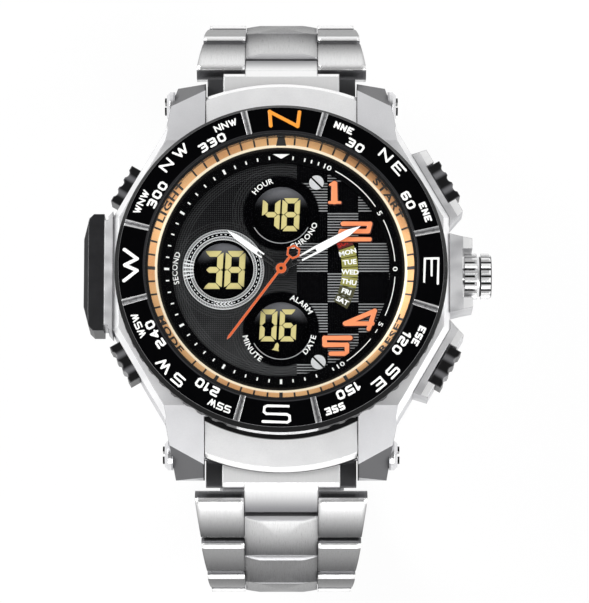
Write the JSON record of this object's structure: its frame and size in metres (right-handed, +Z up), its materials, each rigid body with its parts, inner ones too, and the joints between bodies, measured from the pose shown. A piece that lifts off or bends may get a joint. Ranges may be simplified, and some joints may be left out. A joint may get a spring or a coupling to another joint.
{
  "type": "ana digi watch",
  "caption": "analogue and digital steel wristwatch with compass bezel, push pieces, crown and link bracelet closed by a folding clasp",
  "frame": {"origin": "centre of the case back's flat outer face", "axes": "+Z up through the dial, +Y towards 12 o'clock, +X towards the crown; the closed bracelet hangs below as a loop"},
  "size_m": [0.0618, 0.09, 0.0602],
  "materials": {
    "blasted_steel": "fine bead-blasted stainless steel",
    "brushed_steel": "stainless steel brushed along the bracelet, with polished bevels",
    "polished_steel": "polished stainless steel",
    "black_steel": "black plated steel, polished at the cardinal points",
    "insert_black": "glossy black scale insert",
    "black_cap": "satin black",
    "black_button": "satin black plated steel",
    "seal": "black rubber",
    "crystal_glass": "clear mineral crystal",
    "copper_ring": "copper-coloured lacquer with black ticks",
    "dial_black": "black textured dial",
    "lcd_glass": "negative liquid crystal cell, pale khaki digits",
    "movement_plastic": "moulded plastic",
    "movement_brass": "brass plate",
    "board_green": "circuit board lacquer",
    "coil_copper": "enamelled copper winding",
    "orange_hand": "orange-red lacquer",
    "white_hand": "white lacquer with bright edges"
  },
  "bodies": {
    "case": {"case_middle": "blasted_steel", "case_back": "brushed_steel", "case_back_screws": "polished_steel", "case_back_gasket": "seal", "lug_plates": "blasted_steel", "lug_screws_and_bars": "polished_steel", "end_link_12": "brushed_steel", "end_link_6": "brushed_steel", "side_block": "brushed_steel", "side_cap": "black_cap", "crown_guard": "blasted_steel", "crown_tube": "polished_steel", "pusher_guards": "blasted_steel", "pusher_tubes": "polished_steel", "crystal": "crystal_glass", "crystal_gasket": "seal", "chapter_ring": "copper_ring", "dial_flange": "dial_black", "dial": "dial_black", "dial_screws": "polished_steel", "second_window_ring": "dial_black", "lcd_cells": "lcd_glass", "movement_holder": "movement_plastic", "main_plate": "movement_brass", "circuit_board": "board_green", "battery": "polished_steel", "battery_clip": "polished_steel", "motor_coil": "coil_copper"},
    "bezel": {"bezel_ring": "black_steel", "bezel_insert": "insert_black", "bezel_ribs": "polished_steel"},
    "second": {"second_hand": "orange_hand"},
    "minute": {"minute_hand": "white_hand"},
    "hour": {"hour_hand": "white_hand"},
    "clutch": {"clutch_wheel": "polished_steel"},
    "crown_and_stem": {"crown": "polished_steel", "stem": "polished_steel"},
    "start_button": {"pusher_start": "black_button"},
    "reset_button": {"pusher_reset": "black_button"},
    "light_button": {"pusher_light": "black_button"},
    "mode_button": {"pusher_mode": "black_button"},
    "cover": {"clasp_cover": "brushed_steel"},
    "middle_blade": {"clasp_middle_blade": "polished_steel"},
    "inner_blade": {"clasp_inner_blade": "polished_steel"},
    "right_release": {"clasp_button_right": "polished_steel"},
    "left_release": {"clasp_button_left": "polished_steel"},
    "row_12_1": {"bracelet_12_row_1": "brushed_steel"},
    "row_12_2": {"bracelet_12_row_2": "brushed_steel"},
    "row_12_3": {"bracelet_12_row_3": "brushed_steel"},
    "row_12_4": {"bracelet_12_row_4": "brushed_steel"},
    "row_12_5": {"bracelet_12_row_5": "brushed_steel"},
    "row_12_6": {"bracelet_12_row_6": "brushed_steel"},
    "row_12_7": {"bracelet_12_row_7": "brushed_steel"},
    "row_6_1": {"bracelet_6_row_1": "brushed_steel"},
    "row_6_2": {"bracelet_6_row_2": "brushed_steel"},
    "row_6_3": {"bracelet_6_row_3": "brushed_steel"},
    "row_6_4": {"bracelet_6_row_4": "brushed_steel"},
    "row_6_5": {"bracelet_6_row_5": "brushed_steel"},
    "row_6_6": {"bracelet_6_row_6": "brushed_steel"},
    "row_6_7": {"bracelet_6_row_7": "brushed_steel"}
  },
  "joints": [
    {"name": "bezel_turn", "type": "hinge", "parent": "case", "child": "bezel", "pos_m": [0, 0, 0.0115], "axis": [0, 0, 1], "continuous": true},
    {"name": "second_hand_turn", "type": "hinge", "parent": "case", "child": "second", "pos_m": [0, 0, 0.01215], "axis": [0, 0, -1], "continuous": true},
    {"name": "minute_hand_turn", "type": "hinge", "parent": "case", "child": "minute", "pos_m": [0, 0, 0.0118], "axis": [0, 0, -1], "continuous": true},
    {"name": "hour_hand_turn", "type": "hinge", "parent": "case", "child": "hour", "pos_m": [0, 0, 0.01145], "axis": [0, 0, -1], "continuous": true},
    {"name": "crown_turn", "type": "hinge", "parent": "case", "child": "clutch", "pos_m": [0.0162, 0, 0.0056], "axis": [1, 0, 0], "continuous": true},
    {"name": "crown_pull", "type": "slide", "parent": "clutch", "child": "crown_and_stem", "axis": [1, 0, 0], "range_m": [0, 0.001]},
    {"name": "start_press", "type": "slide", "parent": "case", "child": "start_button", "axis": [-0.866, -0.5, 0], "range_m": [0, 0.001], "stiffness_N_per_m": 1500, "springref_m": -0.001},
    {"name": "reset_press", "type": "slide", "parent": "case", "child": "reset_button", "axis": [-0.866, 0.5, 0], "range_m": [0, 0.001], "stiffness_N_per_m": 1500, "springref_m": -0.001},
    {"name": "light_press", "type": "slide", "parent": "case", "child": "light_button", "axis": [0.866, -0.5, 0], "range_m": [0, 0.001], "stiffness_N_per_m": 1500, "springref_m": -0.001},
    {"name": "mode_press", "type": "slide", "parent": "case", "child": "mode_button", "axis": [0.866, 0.5, 0], "range_m": [0, 0.001], "stiffness_N_per_m": 1500, "springref_m": -0.001},
    {"name": "bracelet_12_hinge_1", "type": "hinge", "parent": "case", "child": "row_12_1", "pos_m": [0, 0.0337, -0.0005], "axis": [1, 0, 0], "range_deg": [0, 46.6]},
    {"name": "bracelet_12_hinge_2", "type": "hinge", "parent": "row_12_1", "child": "row_12_2", "pos_m": [0, 0.0392, -0.00631], "axis": [1, 0, 0], "range_deg": [0, 19.5]},
    {"name": "bracelet_12_hinge_3", "type": "hinge", "parent": "row_12_2", "child": "row_12_3", "pos_m": [0, 0.04244, -0.01363], "axis": [1, 0, 0], "range_deg": [0, 19.5]},
    {"name": "bracelet_12_hinge_4", "type": "hinge", "parent": "row_12_3", "child": "row_12_4", "pos_m": [0, 0.04305, -0.0216], "axis": [1, 0, 0], "range_deg": [0, 19.5]},
    {"name": "bracelet_12_hinge_5", "type": "hinge", "parent": "row_12_4", "child": "row_12_5", "pos_m": [0, 0.04097, -0.02933], "axis": [1, 0, 0], "range_deg": [0, 19.5]},
    {"name": "bracelet_12_hinge_6", "type": "hinge", "parent": "row_12_5", "child": "row_12_6", "pos_m": [0, 0.03642, -0.03591], "axis": [1, 0, 0], "range_deg": [0, 19.5]},
    {"name": "bracelet_12_hinge_7", "type": "hinge", "parent": "row_12_6", "child": "row_12_7", "pos_m": [0, 0.02994, -0.0406], "axis": [1, 0, 0], "range_deg": [0, 19.5]},
    {"name": "bracelet_6_hinge_1", "type": "hinge", "parent": "case", "child": "row_6_1", "pos_m": [0, -0.0337, -0.0005], "axis": [-1, 0, 0], "range_deg": [0, 46.6]},
    {"name": "bracelet_6_hinge_2", "type": "hinge", "parent": "row_6_1", "child": "row_6_2", "pos_m": [0, -0.0392, -0.00631], "axis": [-1, 0, 0], "range_deg": [0, 19.5]},
    {"name": "bracelet_6_hinge_3", "type": "hinge", "parent": "row_6_2", "child": "row_6_3", "pos_m": [0, -0.04244, -0.01363], "axis": [-1, 0, 0], "range_deg": [0, 19.5]},
    {"name": "bracelet_6_hinge_4", "type": "hinge", "parent": "row_6_3", "child": "row_6_4", "pos_m": [0, -0.04305, -0.0216], "axis": [-1, 0, 0], "range_deg": [0, 19.5]},
    {"name": "bracelet_6_hinge_5", "type": "hinge", "parent": "row_6_4", "child": "row_6_5", "pos_m": [0, -0.04097, -0.02933], "axis": [-1, 0, 0], "range_deg": [0, 19.5]},
    {"name": "bracelet_6_hinge_6", "type": "hinge", "parent": "row_6_5", "child": "row_6_6", "pos_m": [0, -0.03642, -0.03591], "axis": [-1, 0, 0], "range_deg": [0, 19.5]},
    {"name": "bracelet_6_hinge_7", "type": "hinge", "parent": "row_6_6", "child": "row_6_7", "pos_m": [0, -0.02994, -0.0406], "axis": [-1, 0, 0], "range_deg": [0, 19.5]},
    {"name": "clasp_cover_hinge", "type": "hinge", "parent": "row_12_7", "child": "cover", "pos_m": [0, 0.02227, -0.04286], "axis": [1, 0, 0], "range_deg": [0, 16.4]},
    {"name": "clasp_fold", "type": "hinge", "parent": "cover", "child": "middle_blade", "pos_m": [0, -0.0165, -0.0433], "axis": [1, 0, 0], "range_deg": [0, 165]},
    {"name": "clasp_inner_hinge", "type": "hinge", "parent": "middle_blade", "child": "inner_blade", "pos_m": [0, 0.014, -0.0426], "axis": [-1, 0, 0], "range_deg": [0, 165]},
    {"name": "right_release_press", "type": "slide", "parent": "cover", "child": "right_release", "axis": [-1, 0, 0], "range_m": [0, 0.0005], "stiffness_N_per_m": 1500, "springref_m": -0.001},
    {"name": "left_release_press", "type": "slide", "parent": "cover", "child": "left_release", "axis": [1, 0, 0], "range_m": [0, 0.0005], "stiffness_N_per_m": 1500, "springref_m": -0.001}
  ],
  "couplings": [
    {"joint": "minute_hand_turn", "follows": "second_hand_turn", "ratio": 0.016667},
    {"joint": "hour_hand_turn", "follows": "second_hand_turn", "ratio": 0.0013889},
    {"joint": "bracelet_12_hinge_2", "follows": "bracelet_12_hinge_1", "ratio": 0.41845},
    {"joint": "bracelet_12_hinge_3", "follows": "bracelet_12_hinge_1", "ratio": 0.41845},
    {"joint": "bracelet_12_hinge_4", "follows": "bracelet_12_hinge_1", "ratio": 0.41845},
    {"joint": "bracelet_12_hinge_5", "follows": "bracelet_12_hinge_1", "ratio": 0.41845},
    {"joint": "bracelet_12_hinge_6", "follows": "bracelet_12_hinge_1", "ratio": 0.41845},
    {"joint": "bracelet_12_hinge_7", "follows": "bracelet_12_hinge_1", "ratio": 0.41845},
    {"joint": "bracelet_6_hinge_1", "follows": "bracelet_12_hinge_1", "ratio": 1},
    {"joint": "bracelet_6_hinge_2", "follows": "bracelet_12_hinge_1", "ratio": 0.41845},
    {"joint": "bracelet_6_hinge_3", "follows": "bracelet_12_hinge_1", "ratio": 0.41845},
    {"joint": "bracelet_6_hinge_4", "follows": "bracelet_12_hinge_1", "ratio": 0.41845},
    {"joint": "bracelet_6_hinge_5", "follows": "bracelet_12_hinge_1", "ratio": 0.41845},
    {"joint": "bracelet_6_hinge_6", "follows": "bracelet_12_hinge_1", "ratio": 0.41845},
    {"joint": "bracelet_6_hinge_7", "follows": "bracelet_12_hinge_1", "ratio": 0.41845},
    {"joint": "clasp_cover_hinge", "follows": "bracelet_12_hinge_1", "ratio": 0.35193},
    {"joint": "clasp_fold", "follows": "bracelet_12_hinge_1", "ratio": 3.5408},
    {"joint": "clasp_inner_hinge", "follows": "bracelet_12_hinge_1", "ratio": 3.5408}
  ]
}
